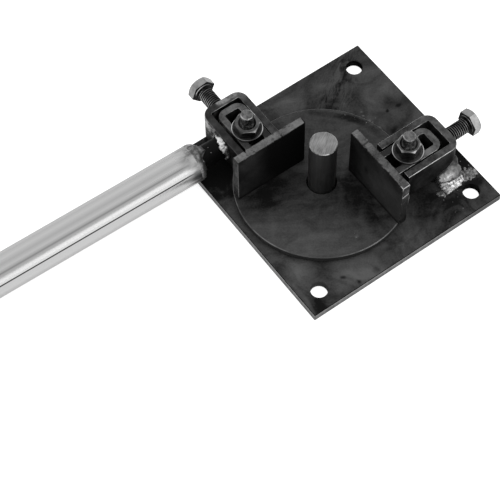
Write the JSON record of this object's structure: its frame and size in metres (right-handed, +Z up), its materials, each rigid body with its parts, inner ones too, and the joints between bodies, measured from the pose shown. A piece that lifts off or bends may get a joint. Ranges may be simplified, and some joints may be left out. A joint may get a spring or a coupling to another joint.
{
  "type": "rebar bending machine",
  "caption": "Hand-operated rebar bender: bolt-down plate, fixed former pin, turntable with a tube handle, and screw-adjusted jaw plates held in bent-strap brackets by clamp nuts.",
  "frame": {"origin": "middle of the bolt-down plate, on its underside, which is the centre of the bolt pattern", "axes": "+Z up from the plate, X along the handle, which points towards -X, Y along the swinging jaw's bracket"},
  "size_m": [0.641, 0.2359, 0.072],
  "materials": {
    "mill_scale": "hot-rolled black mill scale, scuffed",
    "black_strap": "dark hot-rolled flat bar with paler cut edges",
    "sawn_bar": "dark drawn bar with a bright sawn end",
    "plain_fastener": "plain steel, lightly oiled",
    "polished_tube": "bright polished tube",
    "weld_metal": "bare weld metal"
  },
  "bodies": {
    "base": {"base_plate": "mill_scale", "pivot_pin": "sawn_bar", "pivot_pin_weld": "weld_metal", "fixed_bracket": "black_strap", "fixed_bracket_foot": "black_strap", "fixed_bracket_weld": "weld_metal", "fixed_floor_plate": "black_strap", "fixed_clamp_stud": "plain_fastener"},
    "turntable": {"turntable_disc": "mill_scale", "swing_bracket": "black_strap", "swing_bracket_weld": "weld_metal", "swing_floor_plate": "black_strap", "swing_clamp_stud": "plain_fastener", "handle_stub": "sawn_bar", "stub_weld": "weld_metal", "handle_tube": "polished_tube", "handle_weld": "weld_metal"},
    "fixed_jaw": {"fixed_jaw_plate": "mill_scale", "fixed_jaw_slider": "black_strap", "fixed_jaw_weld": "weld_metal"},
    "swing_jaw": {"swing_jaw_plate": "mill_scale", "swing_jaw_slider": "black_strap", "swing_jaw_weld": "weld_metal"},
    "fixed_screw": {"fixed_adjust_screw": "plain_fastener"},
    "swing_screw": {"swing_adjust_screw": "plain_fastener"},
    "fixed_washer": {"fixed_clamp_washer": "plain_fastener"},
    "fixed_nut": {"fixed_clamp_nut": "plain_fastener"},
    "swing_washer": {"swing_clamp_washer": "plain_fastener"},
    "swing_nut": {"swing_clamp_nut": "plain_fastener"}
  },
  "joints": [
    {"name": "turntable_turn", "type": "hinge", "parent": "base", "child": "turntable", "pos_m": [-0.018, -0.001, 0.0113], "axis": [0, 0, 1], "range_deg": [-90, 90]},
    {"name": "fixed_jaw_slide", "type": "slide", "parent": "base", "child": "fixed_jaw", "axis": [-1, 0, 0], "range_m": [-0.005, 0.008]},
    {"name": "fixed_screw_turn", "type": "hinge", "parent": "fixed_jaw", "child": "fixed_screw", "pos_m": [0.0955, -0.0357, 0.0285], "axis": [-1, 0, 0], "range_deg": [-902, 1444]},
    {"name": "swing_jaw_slide", "type": "slide", "parent": "turntable", "child": "swing_jaw", "axis": [0, -1, 0], "range_m": [-0.0022, 0.008]},
    {"name": "swing_screw_turn", "type": "hinge", "parent": "swing_jaw", "child": "swing_screw", "pos_m": [-0.0502, 0.1134, 0.0278], "axis": [0, -1, 0], "range_deg": [-398, 1444]},
    {"name": "fixed_washer_lift", "type": "slide", "parent": "base", "child": "fixed_washer", "axis": [0, 0, 1], "range_m": [0, 0.0036]},
    {"name": "fixed_nut_turn", "type": "hinge", "parent": "fixed_washer", "child": "fixed_nut", "pos_m": [0.0463, -0.0357, 0.052], "axis": [0, 0, 1], "range_deg": [0, 745]},
    {"name": "swing_washer_lift", "type": "slide", "parent": "turntable", "child": "swing_washer", "axis": [0, 0, 1], "range_m": [0, 0.0036]},
    {"name": "swing_nut_turn", "type": "hinge", "parent": "swing_washer", "child": "swing_nut", "pos_m": [-0.0494, 0.064, 0.0513], "axis": [0, 0, 1], "range_deg": [0, 745]}
  ],
  "couplings": [
    {"joint": "fixed_screw_turn", "follows": "fixed_jaw_slide", "rad_per_m": 3141.6},
    {"joint": "swing_screw_turn", "follows": "swing_jaw_slide", "rad_per_m": 3141.6},
    {"joint": "fixed_nut_turn", "follows": "fixed_washer_lift", "rad_per_m": 3590.4},
    {"joint": "swing_nut_turn", "follows": "swing_washer_lift", "rad_per_m": 3590.4}
  ]
}
